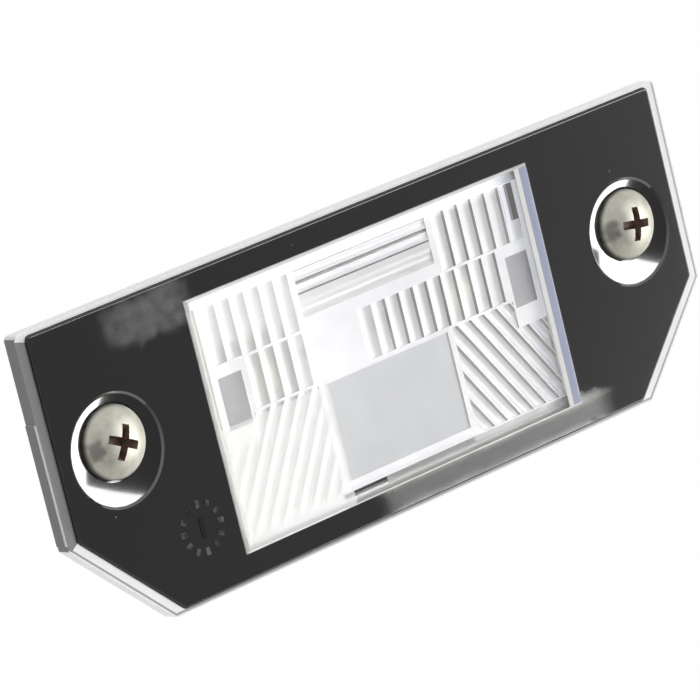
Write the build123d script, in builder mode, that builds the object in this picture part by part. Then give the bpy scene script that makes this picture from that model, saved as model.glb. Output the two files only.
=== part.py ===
from build123d import *
import os
from math import cos, radians, sin

os.makedirs("parts", exist_ok=True)

# A car number plate lamp. X runs along the plate, Z up, and the face looks along -Y.
# The origin is midway between the two screws, on the mounting face at the back of the gasket.
# Heights called "front" are measured forward from that mounting face, so a larger one is nearer the viewer.

# Festoon bulb, a standard 36 mm one
bulb_length = 36.0
glass_radius = 5.0
glass_wall = 0.6
glass_neck_radius = 3.55
glass_taper = 2.2
cap_radius = 4.25
cap_skirt = 4.6
cap_cone = 2.0
cap_tip_radius = 1.8
cap_fit = 0.1
cap_glass_gap = 0.7
filament_radius = 0.55
filament_length = 9.0
lead_radius = 0.2
lead_fit = 0.05

# Face plate and window, seen from the front
bulb_end_room = 7.4
end_width = 20.6
window_height = 28.2
window_margin = 2.75
corner_cut = 11.3
corner_round = 0.6
window_border = 1.45

# Layers, from the mounting face forward
gasket_thick = 1.6
housing_flange_thick = 1.4
lens_flange_thick = 0.9
bezel_thick = 1.2
rim_step = 0.35
window_step = 0.4
window_thick = 1.7
bezel_edge_round = 0.25
window_edge_cut = 0.25

# Clear rim round the black plate, and the lug on each short end of it
rim_ends = 1.35
rim_long = 0.45
lug_height = 13.2
lug_middle = 1.1
lug_proud = 0.12
lug_front_step = 0.45

# Screws in their dished recesses
dish_radius = 6.2
dish_depth = 1.4
dish_wall = 0.2
dish_wall_run = 0.25
bowl_radius = 26.0
dish_land = 1.45
dish_above_middle = 2.0
screw_above_dish = 0.9
cup_wall = 0.7
head_radius = 4.0
head_height = 3.1
head_side = 1.3
head_shoulder = 0.75
head_shoulder_rise = 0.9
head_room = 0.25
cross_length = 4.4
cross_width = 0.95
cross_depth = 1.7
cross_turn_left = -27.0
cross_turn_right = -9.5
neck_radius = 1.7
shank_radius = 2.1
shank_length = 9.5
tip_length = 1.6
tip_radius = 0.8
shank_room = 0.3

# Optics on the back of the window
flute_depth = 0.45
flute_pitch = 2.1
flute_flat = 0.1
edge_gap = 0.15
row_gap = 0.3
top_row_height = 6.4
middle_row_height = 5.75
centre_width = 19.5
bar_pitch = 1.3
bar_depth = 0.4
wide_bar = 1.9
wide_bar_gap = 0.75
plain_block_width = 6.7
diagonal_lean = 33.0
diagonal_pitch = 1.7
pad_proud = 0.2
square_width = 18.5
square_height = 11.0
square_drop = 0.55
contact_pad_width = 3.3
contact_pad_height = 5.8
contact_pad_end_gap = 0.75
contact_pad_drop = 1.1
contact_ground_below = 2.2

# Reflector, contacts and housing
bulb_lens_gap = 2.05
bulb_floor_gap = 1.0
reflector_wall = 0.9
reflector_flange_thick = 1.0
reflector_flange_reach = 1.7
drain_length = 19.8
drain_width = 1.0
drain_from_window_edge = 1.2
mouth_inset_x = 0.3
mouth_inset_z = 0.6
floor_inset = 1.4
floor_height = 14.0
tub_corner = 1.6
tub_gap = 0.15
housing_wall = 1.35
housing_edge_round = 0.9
housing_floor_gap = 1.0
housing_inset_ends = 1.7
housing_inset_long = 0.65
contact_sheet = 0.6
contact_width = 6.0
contact_seat = 0.4
contact_fit = 0.02
contact_tab_drop = 1.2
contact_room = 0.3
blade_spacing = 6.0
blade_width = 2.8
blade_length = 7.0
blade_room = 0.05
socket_length = 11.6
socket_height = 8.6
socket_depth = 9.5
socket_wall = 1.25
socket_corner = 0.6
latch_width = 4.0
latch_length = 3.0
latch_rise = 1.1
latch_setback = 1.5

# Seals and fits
seal_width_x = 1.2
seal_width_z = 1.0
seal_thick = 0.6
seal_setback = 0.5
gasket_room = 0.3
fit = 0.05

# Outline sizes that follow
window_length = bulb_length + 2 * bulb_end_room
plate_length = window_length + 2 * end_width
plate_height = window_height + 2 * window_margin
drain_below_middle = window_height / 2 - drain_from_window_edge
screw_x = plate_length / 2 - dish_radius - dish_land
middle_z = -(dish_above_middle + screw_above_dish)
dish_z = -screw_above_dish
bulb_z = dish_z
cup_radius = dish_radius + cup_wall
bowl_rim = dish_radius - dish_wall_run - fit
bowl_ahead = (bowl_radius**2 - bowl_rim**2) ** 0.5

# Front heights of the layers
flange_back = gasket_thick + housing_flange_thick
bezel_back = flange_back + lens_flange_thick
face = bezel_back + bezel_thick
rim_front = face - rim_step
window_front = face + window_step
field_back = window_front - window_thick
seat = face - dish_depth
bulb_front = field_back - flute_depth - bulb_lens_gap - glass_radius
reflector_floor = bulb_front - glass_radius - bulb_floor_gap
housing_floor = reflector_floor - reflector_wall - housing_floor_gap
housing_back = housing_floor - housing_wall

# Window field, reflector mouth and floor
field_length = window_length - 2 * window_border
field_height = window_height - 2 * window_border
mouth_length = field_length - 2 * mouth_inset_x
mouth_height = field_height - 2 * mouth_inset_z
floor_length = mouth_length - 2 * floor_inset


def front_plane(front):
    """A plane facing forward, at a front height, with local x along X and local y along Z."""
    return Plane.XZ.offset(front)


def plate_outline(ends, long_sides):
    """Corners of the plate's outline, moved out by these amounts; the lower two are cut at 45 degrees."""
    half_length = plate_length / 2 + ends
    half_height = plate_height / 2 + long_sides
    cut_line = (plate_length + plate_height) / 2 - corner_cut + ends * 2**0.5
    low = middle_z - half_height
    side = middle_z + half_length - cut_line
    bottom = cut_line - half_height
    return [
        (-half_length, middle_z + half_height),
        (half_length, middle_z + half_height),
        (half_length, side),
        (bottom, low),
        (-bottom, low),
        (-half_length, side),
    ]


def plate_face(ends, long_sides):
    """The plate's outline as a face with rounded corners, in the sketch that is open."""
    Polygon(*plate_outline(ends, long_sides), align=None)
    fillet(vertices(), corner_round)


def tub_solid(grow, top, bottom):
    """A tapering tub between the reflector's mouth and floor, its walls moved out by grow."""
    with BuildPart() as tub:
        with BuildSketch(front_plane(top)):
            with Locations((0, middle_z)):
                RectangleRounded(mouth_length + 2 * grow, mouth_height + 2 * grow, tub_corner + grow)
        with BuildSketch(front_plane(bottom)):
            with Locations((0, bulb_z)):
                RectangleRounded(floor_length + 2 * grow, floor_height + 2 * grow, tub_corner + grow)
        loft()
    return tub.part


def dish_bowl(x):
    """The dip that a ball leaves in the floor of a screw's dish, down to the seat."""
    with BuildPart() as bowl:
        with BuildSketch(front_plane(seat)):
            with Locations((x, dish_z)):
                Circle(cup_radius)
        extrude(amount=dish_depth - dish_wall)
        with Locations((x, dish_wall - face - bowl_ahead, dish_z)):
            Sphere(bowl_radius, mode=Mode.INTERSECT)
    return bowl.part


def fluted_block(low_x, high_x, low_z, high_z, pitch, depth, lean):
    """Round flutes on the window's back that fill a rectangle; lean turns them from upright, in degrees."""
    width = high_x - low_x
    height = high_z - low_z
    middle = ((low_x + high_x) / 2, (low_z + high_z) / 2)
    across = (cos(radians(lean)), 0, sin(radians(lean)))
    along = (sin(radians(lean)), 0, -cos(radians(lean)))
    spread = width * abs(across[0]) + height * abs(across[2])
    reach = width * abs(along[0]) + height * abs(along[2])
    count = int(spread / pitch + fit)
    chord = pitch - flute_flat
    radius = (chord**2 / 4 + depth**2) / (2 * depth)
    start = Plane(origin=(middle[0], -field_back, middle[1]), x_dir=across, z_dir=along)
    with BuildPart() as block:
        with BuildSketch(start):
            with Locations((0, radius - depth)):
                with GridLocations(pitch, pitch, count, 1):
                    Circle(radius)
        extrude(amount=reach, both=True)
        with BuildSketch(front_plane(field_back)):
            with Locations(middle):
                Rectangle(width, height)
        extrude(amount=-2 * depth, mode=Mode.INTERSECT)
    return block.part


# Rows of optics on the window's back, as heights and lengths from the origin
optics_half = field_length / 2 - edge_gap
optics_top = middle_z + field_height / 2 - edge_gap
optics_bottom = middle_z - field_height / 2 + edge_gap
top_row_low = optics_top - top_row_height
middle_row_top = top_row_low - row_gap
middle_row_low = middle_row_top - middle_row_height
centre_half = centre_width / 2
side_start = centre_half + row_gap
contact_pad_x = optics_half - contact_pad_end_gap - contact_pad_width / 2
contact_pad_z = middle_row_top - contact_pad_drop - contact_pad_height / 2
ground_inner = contact_pad_x - contact_pad_width / 2 - row_gap
ground_low = contact_pad_z - contact_pad_height / 2 - contact_ground_below
square_z = middle_row_low - square_drop - square_height / 2


def lens_flutes():
    """All blocks of flutes on the window: two rows of upright ones, three bars and two slanted groups."""
    bars_low = optics_top - 2 * bar_pitch
    wide_top = bars_low - wide_bar_gap
    plain_end = plain_block_width - side_start
    slant_top = middle_row_low - row_gap
    deep = flute_depth
    step = diagonal_pitch
    lean = diagonal_lean
    return [
        fluted_block(-optics_half, -side_start, top_row_low, optics_top, flute_pitch, deep, 0),
        fluted_block(side_start, optics_half, top_row_low, optics_top, flute_pitch, deep, 0),
        fluted_block(-centre_half, centre_half, bars_low, optics_top, bar_pitch, bar_depth, 90),
        fluted_block(-centre_half, centre_half, wide_top - wide_bar, wide_top, wide_bar, bar_depth, 90),
        fluted_block(-ground_inner, -side_start, middle_row_low, middle_row_top, flute_pitch, deep, 0),
        fluted_block(plain_end, ground_inner, middle_row_low, middle_row_top, flute_pitch, deep, 0),
        fluted_block(-optics_half, -side_start, optics_bottom, slant_top, step, deep, -lean),
        fluted_block(side_start, optics_half, optics_bottom, slant_top, step, deep, lean),
    ]


# Black face plate, with a window opening and a dished cup for each screw
with BuildPart() as bezel:
    with BuildSketch(front_plane(bezel_back)):
        plate_face(0, 0)
    extrude(amount=bezel_thick)
    outer_edge = bezel.faces().sort_by(Axis.Y)[0].outer_wire().edges()
    fillet(outer_edge, bezel_edge_round)
    with BuildSketch(front_plane(bezel_back)):
        with Locations((0, middle_z)):
            Rectangle(window_length, window_height)
    extrude(amount=bezel_thick, mode=Mode.SUBTRACT)
    with BuildSketch(front_plane(flange_back)):
        with Locations((-screw_x, dish_z), (screw_x, dish_z)):
            Circle(cup_radius)
    extrude(amount=lens_flange_thick)
    for side in (-screw_x, screw_x):
        with Locations(Location((side, dish_wall / 2 - face, dish_z), (90, 0, 0))):
            Cone(dish_radius - dish_wall_run, dish_radius, dish_wall, mode=Mode.SUBTRACT)
        add(dish_bowl(side), mode=Mode.SUBTRACT)
    with BuildSketch(front_plane(seat)):
        with Locations((-screw_x, 0), (screw_x, 0)):
            Circle(head_radius + head_room)
    extrude(amount=dish_depth, mode=Mode.SUBTRACT)
    with BuildSketch(front_plane(flange_back)):
        with Locations((-screw_x, 0), (screw_x, 0)):
            Circle(shank_radius + shank_room)
    extrude(amount=dish_depth + bezel_thick, mode=Mode.SUBTRACT)
bezel.part.label = "bezel"
export_step(bezel.part, "parts/bezel.step")

# Clear lens: a flange under the black plate, the fluted window with three plain pads, and end lugs
with BuildPart() as lens:
    with BuildSketch(front_plane(flange_back)):
        plate_face(rim_ends, rim_long)
    extrude(amount=rim_front - flange_back)
    for side in (-1, 1):
        with BuildSketch(front_plane(flange_back)):
            with Locations((side * (plate_length / 2 + rim_ends), middle_z + lug_middle)):
                Rectangle(2 * lug_proud, lug_height)
        extrude(amount=rim_front - lug_front_step - flange_back)
    with BuildSketch(front_plane(bezel_back)):
        plate_face(fit, fit)
    extrude(amount=bezel_thick, mode=Mode.SUBTRACT)
    with BuildSketch(front_plane(flange_back)):
        with Locations((0, middle_z)):
            Rectangle(window_length - 2 * fit, window_height - 2 * fit)
    extrude(amount=window_front - flange_back)
    chamfer(lens.faces().sort_by(Axis.Y)[0].edges(), window_edge_cut)
    with BuildSketch(front_plane(flange_back)):
        with Locations((0, middle_z)):
            Rectangle(field_length, field_height)
    extrude(amount=field_back - flange_back, mode=Mode.SUBTRACT)
    with BuildSketch(front_plane(flange_back)):
        with Locations((-screw_x, dish_z), (screw_x, dish_z)):
            Circle(cup_radius + fit)
    extrude(amount=lens_flange_thick, mode=Mode.SUBTRACT)
    for flutes in lens_flutes():
        add(flutes)
    ground_length = optics_half - ground_inner
    ground_height = middle_row_top - ground_low
    ground_x = (optics_half + ground_inner) / 2
    ground_z = (middle_row_top + ground_low) / 2
    with BuildSketch(front_plane(field_back)):
        with Locations((-ground_x, ground_z), (ground_x, ground_z)):
            Rectangle(ground_length, ground_height)
    extrude(amount=-flute_depth, mode=Mode.SUBTRACT)
    with BuildSketch(front_plane(field_back)):
        with Locations((0, square_z)):
            Rectangle(square_width, square_height)
        with Locations((-contact_pad_x, contact_pad_z), (contact_pad_x, contact_pad_z)):
            Rectangle(contact_pad_width, contact_pad_height)
    extrude(amount=-pad_proud)
lens.part.label = "lens"
export_step(lens.part, "parts/lens.step")

# Rubber ring between the lens and the housing, in a groove round the housing's mouth
seal_inner_length = window_length + 2 * seal_setback
seal_inner_height = window_height + 2 * seal_setback
seal_outer_length = seal_inner_length + 2 * seal_width_x
seal_outer_height = seal_inner_height + 2 * seal_width_z
with BuildPart() as lens_seal:
    with BuildSketch(front_plane(flange_back)):
        with Locations((0, middle_z)):
            Rectangle(seal_outer_length, seal_outer_height)
            Rectangle(seal_inner_length, seal_inner_height, mode=Mode.SUBTRACT)
    extrude(amount=-seal_thick)
lens_seal.part.label = "lens_seal"
export_step(lens_seal.part, "parts/lens_seal.step")

# White reflector tray, hung by its flange in the housing's mouth, with contact slots and a drain slot
reflector_back = reflector_floor - reflector_wall
leaf_x = bulb_length / 2 - contact_seat + contact_sheet / 2
flange_length = mouth_length + 2 * reflector_flange_reach
flange_height = mouth_height + 2 * reflector_flange_reach
with BuildPart() as reflector:
    with BuildSketch(front_plane(flange_back)):
        with Locations((0, middle_z)):
            Rectangle(flange_length, flange_height)
    extrude(amount=-reflector_flange_thick)
    add(tub_solid(reflector_wall, flange_back, reflector_back))
    add(tub_solid(0, flange_back, reflector_floor), mode=Mode.SUBTRACT)
    with BuildSketch(front_plane(reflector_back)):
        with Locations((-leaf_x, bulb_z), (leaf_x, bulb_z)):
            Rectangle(contact_sheet + 2 * contact_room, contact_width + 2 * contact_room)
    extrude(amount=reflector_wall, mode=Mode.SUBTRACT)
    with BuildSketch(front_plane(flange_back)):
        with Locations((0, middle_z - drain_below_middle)):
            Rectangle(drain_length, drain_width)
    extrude(amount=-reflector_flange_thick, mode=Mode.SUBTRACT)
reflector.part.label = "reflector"
export_step(reflector.part, "parts/reflector.step")

# Rear housing: flange with ears for the screws, tapering tub, and a plug socket with a latch nose
tub_grow = reflector_wall + tub_gap
socket_back = housing_back - socket_depth
with BuildPart() as rear_housing:
    with BuildSketch(front_plane(gasket_thick)):
        plate_face(-housing_inset_ends, -housing_inset_long)
    extrude(amount=housing_flange_thick)
    add(tub_solid(tub_grow + housing_wall, flange_back, housing_back))
    fillet(rear_housing.faces().sort_by(Axis.Y)[-1].edges(), housing_edge_round)
    with BuildSketch(front_plane(housing_back)):
        with Locations((0, bulb_z)):
            RectangleRounded(
                socket_length + 2 * socket_wall,
                socket_height + 2 * socket_wall,
                socket_corner + socket_wall,
            )
            RectangleRounded(socket_length, socket_height, socket_corner, mode=Mode.SUBTRACT)
    extrude(amount=-socket_depth)
    add(tub_solid(tub_grow, flange_back, housing_floor), mode=Mode.SUBTRACT)
    with BuildSketch(front_plane(flange_back)):
        with Locations((0, middle_z)):
            Rectangle(flange_length + 2 * fit, flange_height + 2 * fit)
    extrude(amount=-reflector_flange_thick, mode=Mode.SUBTRACT)
    with BuildSketch(front_plane(flange_back)):
        with Locations((0, middle_z)):
            Rectangle(seal_outer_length + 2 * fit, seal_outer_height + 2 * fit)
            Rectangle(seal_inner_length - 2 * fit, seal_inner_height - 2 * fit, mode=Mode.SUBTRACT)
    extrude(amount=-seal_thick, mode=Mode.SUBTRACT)
    with BuildSketch(front_plane(gasket_thick)):
        with Locations((-screw_x, 0), (screw_x, 0)):
            Circle(shank_radius + shank_room)
    extrude(amount=housing_flange_thick, mode=Mode.SUBTRACT)
    with BuildSketch(front_plane(housing_back)):
        with Locations((-blade_spacing / 2, bulb_z), (blade_spacing / 2, bulb_z)):
            Rectangle(contact_sheet + 2 * blade_room, blade_width + 2 * blade_room)
    extrude(amount=housing_wall, mode=Mode.SUBTRACT)
    shroud_top = bulb_z + socket_height / 2 + socket_wall
    latch_front = socket_back + latch_setback + latch_length
    with BuildSketch(Plane.YZ.offset(-latch_width / 2)):
        Polygon(
            (-latch_front, shroud_top),
            (-latch_front, shroud_top + latch_rise),
            (-socket_back - latch_setback, shroud_top),
            align=None,
        )
    extrude(amount=latch_width)
rear_housing.part.label = "rear_housing"
export_step(rear_housing.part, "parts/rear_housing.step")

# Foam gasket on the back of the housing's flange, round the tub and the screws
opening_grow = tub_grow + housing_wall + gasket_room
with BuildPart() as mounting_gasket:
    with BuildSketch(front_plane(0)):
        plate_face(-housing_inset_ends, -housing_inset_long)
        with Locations((0, middle_z)):
            RectangleRounded(
                mouth_length + 2 * opening_grow,
                mouth_height + 2 * opening_grow,
                tub_corner + opening_grow,
                mode=Mode.SUBTRACT,
            )
        with Locations((-screw_x, 0), (screw_x, 0)):
            Circle(shank_radius + shank_room, mode=Mode.SUBTRACT)
    extrude(amount=gasket_thick)
mounting_gasket.part.label = "mounting_gasket"
export_step(mounting_gasket.part, "parts/mounting_gasket.step")

# Contact springs: a leaf that takes the bulb's tip in a hole, a folded tab, a strip and a plug blade
leaf_inner = bulb_length / 2 - contact_seat
tip_hole_radius = cap_tip_radius + (cap_radius - cap_tip_radius) * contact_seat / cap_cone + contact_fit
tab_front = bulb_front + cap_radius - contact_tab_drop
taper_share = (flange_back - tab_front) / (flange_back - reflector_floor)
tab_end = mouth_length / 2 - floor_inset * taper_share - contact_room
tab_back = tab_front - contact_sheet
blade_x = blade_spacing / 2
for name, side in (("contact_spring_left", -1), ("contact_spring_right", 1)):
    with BuildPart() as contact:
        with BuildSketch(front_plane(housing_floor)):
            with Locations((side * leaf_x, bulb_z)):
                Rectangle(contact_sheet, contact_width)
        extrude(amount=tab_front - housing_floor)
        with BuildSketch(Plane.YZ.offset(side * leaf_x)):
            with Locations((-bulb_front, bulb_z)):
                Circle(tip_hole_radius)
        extrude(amount=contact_sheet, both=True, mode=Mode.SUBTRACT)
        with BuildSketch(front_plane(tab_back)):
            with Locations((side * (leaf_inner + tab_end) / 2, bulb_z)):
                Rectangle(tab_end - leaf_inner, contact_width)
        extrude(amount=contact_sheet)
        strip_start = blade_x - contact_sheet / 2
        with BuildSketch(front_plane(housing_floor)):
            with Locations((side * (strip_start + leaf_inner) / 2, bulb_z)):
                Rectangle(leaf_inner - strip_start, blade_width)
        extrude(amount=contact_sheet)
        with BuildSketch(front_plane(housing_back - blade_length)):
            with Locations((side * blade_x, bulb_z)):
                Rectangle(contact_sheet, blade_width)
        extrude(amount=blade_length + housing_wall)
    contact.part.label = name
    export_step(contact.part, f"parts/{name}.step")

# Festoon bulb: a glass tube with necks, a cap on each neck, and a coil between two lead wires
bulb_axis = Axis((0, -bulb_front, bulb_z), (1, 0, 0))
bulb_plane = Plane(origin=(0, -bulb_front, bulb_z), x_dir=(1, 0, 0), z_dir=(0, 0, 1))
cap_start = bulb_length / 2 - cap_cone - cap_skirt
neck_start = cap_start - cap_glass_gap
straight_end = neck_start - glass_taper
neck_end = bulb_length / 2 - cap_cone - cap_fit
neck_inner = glass_neck_radius - glass_wall
glass_inner = glass_radius - glass_wall
with BuildPart() as bulb_glass:
    with BuildSketch(bulb_plane):
        Polygon(
            (-neck_end, lead_radius + lead_fit),
            (-neck_end, glass_neck_radius),
            (-neck_start, glass_neck_radius),
            (-straight_end, glass_radius),
            (straight_end, glass_radius),
            (neck_start, glass_neck_radius),
            (neck_end, glass_neck_radius),
            (neck_end, lead_radius + lead_fit),
            (neck_end - glass_wall, lead_radius + lead_fit),
            (neck_end - glass_wall, neck_inner),
            (neck_start, neck_inner),
            (straight_end, glass_inner),
            (-straight_end, glass_inner),
            (-neck_start, neck_inner),
            (-neck_end + glass_wall, neck_inner),
            (-neck_end + glass_wall, lead_radius + lead_fit),
            align=None,
        )
    revolve(axis=bulb_axis)
bulb_glass.part.label = "bulb_glass"
export_step(bulb_glass.part, "parts/bulb_glass.step")

cap_inner = glass_neck_radius + cap_fit
for name, side in (("bulb_cap_left", -1), ("bulb_cap_right", 1)):
    with BuildPart() as cap:
        with BuildSketch(bulb_plane):
            Polygon(
                (side * cap_start, cap_inner),
                (side * cap_start, cap_radius),
                (side * (cap_start + cap_skirt), cap_radius),
                (side * bulb_length / 2, cap_tip_radius),
                (side * bulb_length / 2, 0),
                (side * (cap_start + cap_skirt), 0),
                (side * (cap_start + cap_skirt), cap_inner),
                align=None,
            )
        revolve(axis=bulb_axis)
    cap.part.label = name
    export_step(cap.part, f"parts/{name}.step")

with BuildPart() as bulb_filament:
    with BuildSketch(Plane(bulb_plane.origin, x_dir=(0, 1, 0), z_dir=(1, 0, 0))):
        Circle(filament_radius)
    extrude(amount=filament_length / 2, both=True)
bulb_filament.part.label = "bulb_filament"
export_step(bulb_filament.part, "parts/bulb_filament.step")

lead_length = bulb_length / 2 - cap_cone - filament_length / 2
for name, side in (("bulb_lead_left", -1), ("bulb_lead_right", 1)):
    lead_start = Vector(side * filament_length / 2, -bulb_front, bulb_z)
    with BuildPart() as lead:
        with BuildSketch(Plane(lead_start, x_dir=(0, 1, 0), z_dir=(side, 0, 0))):
            Circle(lead_radius)
        extrude(amount=lead_length)
    lead.part.label = name
    export_step(lead.part, f"parts/{name}.step")

# Pan head tapping screws with a cross recess and a plain neck; the thread is its outer cylinder,
# and it starts at the mounting face
head_top = seat + head_height
for name, side, turn in (
    ("mounting_screw_left", -screw_x, cross_turn_left),
    ("mounting_screw_right", screw_x, cross_turn_right),
):
    with BuildPart() as screw:
        with BuildSketch(Plane.XY):
            with BuildLine():
                top = (side, -head_top)
                tip = (side, shank_length - seat)
                shank_end = shank_length - seat - tip_length
                shoulder = (side + head_radius, -seat - head_side)
                crown = (side + head_radius - head_shoulder, -seat - head_side - head_shoulder_rise)
                Polyline(
                    top,
                    tip,
                    (side + tip_radius, shank_length - seat),
                    (side + shank_radius, shank_end),
                    (side + shank_radius, 0),
                    (side + neck_radius, 0),
                    (side + neck_radius, -seat),
                    (side + head_radius, -seat),
                    shoulder,
                )
                TangentArc(shoulder, crown, tangent=(0, -1))
                TangentArc(top, crown, tangent=(1, 0))
            make_face()
        revolve(axis=Axis((side, 0, 0), (0, 1, 0)))
        with BuildSketch(front_plane(head_top - cross_depth)):
            with Locations((side, 0)):
                Rectangle(cross_length, cross_width, rotation=turn)
                Rectangle(cross_width, cross_length, rotation=turn)
        extrude(amount=cross_depth, mode=Mode.SUBTRACT)
    screw.part.label = name
    export_step(screw.part, f"parts/{name}.step")
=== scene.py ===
"""Looks of a car number plate lamp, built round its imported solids, in the row frame and in metres."""

import math

import bmesh
import bpy
from mathutils import Matrix, Quaternion, Vector


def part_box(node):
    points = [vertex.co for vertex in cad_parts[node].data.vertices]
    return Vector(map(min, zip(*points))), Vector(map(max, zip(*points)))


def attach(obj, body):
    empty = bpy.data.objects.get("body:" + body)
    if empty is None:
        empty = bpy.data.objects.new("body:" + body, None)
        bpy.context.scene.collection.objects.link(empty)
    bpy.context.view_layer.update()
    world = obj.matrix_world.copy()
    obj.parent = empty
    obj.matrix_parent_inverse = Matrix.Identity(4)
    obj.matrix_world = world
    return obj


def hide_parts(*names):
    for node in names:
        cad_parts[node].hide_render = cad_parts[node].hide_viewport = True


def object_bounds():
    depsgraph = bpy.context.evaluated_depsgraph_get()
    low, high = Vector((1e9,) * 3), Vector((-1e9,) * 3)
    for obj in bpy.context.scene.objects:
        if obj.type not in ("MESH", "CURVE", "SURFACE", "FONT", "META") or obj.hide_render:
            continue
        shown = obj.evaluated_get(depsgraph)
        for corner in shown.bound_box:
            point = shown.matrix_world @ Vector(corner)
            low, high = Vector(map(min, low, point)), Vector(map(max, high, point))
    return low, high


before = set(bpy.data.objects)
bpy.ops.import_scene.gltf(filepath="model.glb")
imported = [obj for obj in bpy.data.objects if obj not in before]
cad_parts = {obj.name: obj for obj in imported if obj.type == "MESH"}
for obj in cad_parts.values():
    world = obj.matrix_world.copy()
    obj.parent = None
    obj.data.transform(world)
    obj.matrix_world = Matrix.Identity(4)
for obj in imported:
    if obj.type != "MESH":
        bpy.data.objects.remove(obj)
cad_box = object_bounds()

MM = 0.001
BODY = "root"

# Places read from the frame
plate_low, plate_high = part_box("bezel")
lens_low, lens_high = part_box("lens")
FACE_Y = plate_low.y
MIDDLE_Z = (plate_low.z + plate_high.z) / 2
LENS_BACK_Y = lens_high.y

# Sizes of the lens that sort its faces, in millimetres from the middle of the black face
BEZEL_THICK = 1.2
WINDOW_HALF = (25.35, 14.05)
FIELD_HALF = (23.9, 12.65)
FIELD_BACK = 1.3
RAISED_LIMIT = 0.5
PAD_PROUD = 0.2
SQUARE_HALF_WIDTH = 9.25
# Bars above the square: their reach, the dark lines of painted shade between them and the grey line of
# painted shade along their top
BARS_HALF_WIDTH = 9.75
BARS_ENDS = (7.25, 12.5)
BAR_LINES = ((9.8, 9.98), (10.9, 11.32))
BARS_EDGE_LINE = 12.37
# Last flute of the upper row: its start along the window, the level of its lower end and where it turns dark
# with painted shade
FIRST_ROW_LOW = 6.0
LAST_FLUTE = (21.52, 8.3)
LAST_FLUTE_DARK = 22.15
# Border of the lens's back, and the veil over the reflector's slot
BORDER_HALF = (26.2, 14.6)
LONG_BORDER_START = 13.6
SLOT_VEIL_START = -3.6
# Tones of the window's front: the strip at the right end, a pale one beside it and the milky corner
STRIP_START = 23.95
PALE_STRIP_START = 23.25
MILKY_END = (-9.5, -0.4)
# Clear rim with its thin grey line, and the lug on the left end
RIM_HALF = (47.35, 17.3)
RIM_CUT = 37.8
RIM_DEEP = 0.35
RIM_LINE_BAND = (-0.42, -0.17)
LEFT_END = -47.0
LUG_DEEP = 0.8
LUG_ENDS = (-5.5, 7.7)
# How far a face looks one way, as a part of its normal
FLAT = 0.99
SIDEWAYS = 0.9
STEEP = 0.83
LEANING = 0.3
DIAGONAL = 0.5 ** 0.5


def on_plate(along, up, proud=0.0):
    """A point given in millimetres from the middle of the black face: along it, up it and out of it."""
    return Vector((along * MM, FACE_Y - proud * MM, MIDDLE_Z + up * MM))


def in_frame(along, up, out):
    """A direction along the face, up it and out of it, as one of the row frame."""
    return Vector((along, -out, up))


def per(millimetres):
    """The scale of a pattern whose cells are this wide."""
    return 1 / (millimetres * MM)


# Small tools


def linear(code):
    """The linear colour of an sRGB hex value, with full alpha."""
    parts = [int(code[i:i + 2], 16) / 255 for i in (1, 3, 5)]
    return tuple(c / 12.92 if c <= 0.04045 else ((c + 0.055) / 1.055) ** 2.4 for c in parts) + (1.0,)


def add(tree, kind, inputs=None, **settings):
    """Adds a node, with its settings, and with each input set to a value or linked to a socket."""
    made = tree.nodes.new(kind)
    for name, value in settings.items():
        setattr(made, name, value)
    for name, value in (inputs or {}).items():
        if isinstance(value, bpy.types.NodeSocket):
            tree.links.new(value, made.inputs[name])
        else:
            made.inputs[name].default_value = value
    return made


def new_material(name, **sockets):
    """A material with one Principled shader, whose plain sockets are set by name with _ for a space."""
    material = bpy.data.materials.new(name)
    material.use_nodes = True
    tree = material.node_tree
    tree.nodes.clear()
    shader = add(tree, "ShaderNodeBsdfPrincipled")
    for socket, value in sockets.items():
        shader.inputs[socket.replace("_", " ")].default_value = value
    output = add(tree, "ShaderNodeOutputMaterial", {"Surface": shader.outputs[0]})
    return material, tree, shader, output


def new_object(name, mesh, *materials):
    """An object in the scene that shows this mesh in these materials."""
    piece = bpy.data.objects.new(name, mesh)
    bpy.context.scene.collection.objects.link(piece)
    for material in materials:
        mesh.materials.append(material)
    return piece


def final_mesh(piece, name):
    """The piece with its modifiers as a plain mesh of its own."""
    graph = bpy.context.evaluated_depsgraph_get()
    mesh = bpy.data.meshes.new_from_object(piece.evaluated_get(graph))
    mesh.name = name
    return mesh


def smooth_by_angle(mesh, degrees):
    """Smooth shading, with every edge that turns by more than this kept sharp."""
    made = bmesh.new()
    made.from_mesh(mesh)
    for face in made.faces:
        face.smooth = True
    for edge in made.edges:
        edge.smooth = len(edge.link_faces) == 2 and edge.calc_face_angle(0.0) < math.radians(degrees)
    made.to_mesh(mesh)
    made.free()


def flat_faces_lead(piece):
    """Normals that follow the larger faces, so that a flat face next to a rounded edge stays flat."""
    modifier = piece.modifiers.new("normals", "WEIGHTED_NORMAL")
    modifier.keep_sharp = True
    piece.data = final_mesh(piece, piece.name)
    piece.modifiers.remove(modifier)


def stand_for(piece, slot, *nodes):
    """The piece rides on the lamp and stands for these solids; slot is not used."""
    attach(piece, BODY)
    if nodes:
        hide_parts(*nodes)


WELD = 0.0005 * MM
# Turns between faces, in degrees: what counts as flat, what is shaded smooth and what gets a rounded edge
FLAT_DEGREES = 0.5
SMOOTH_DEGREES = 38.0
PLATE_SMOOTH_DEGREES = 18.0
COIL_SMOOTH_DEGREES = 60.0
SHARP_DEGREES = 45.0

# Dishes round the screws: a short leaning wall and a ball, which is shaded as a larger one, in millimetres
DISH_PLACES = ((-38.35, -0.9), (38.35, -0.9))
DISH_RADIUS = 6.2
DISH_WALL = 0.2
DISH_WALL_RUN = 0.25
BOWL_RADIUS = 26.0
BOWL_RIM = 5.9
BOWL_SHADE_RADIUS = 42.0


def welded(node):
    """A solid's mesh with its loose triangles joined."""
    made = bmesh.new()
    made.from_mesh(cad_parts[node].data)
    bmesh.ops.remove_doubles(made, verts=made.verts, dist=WELD)
    return made


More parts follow.
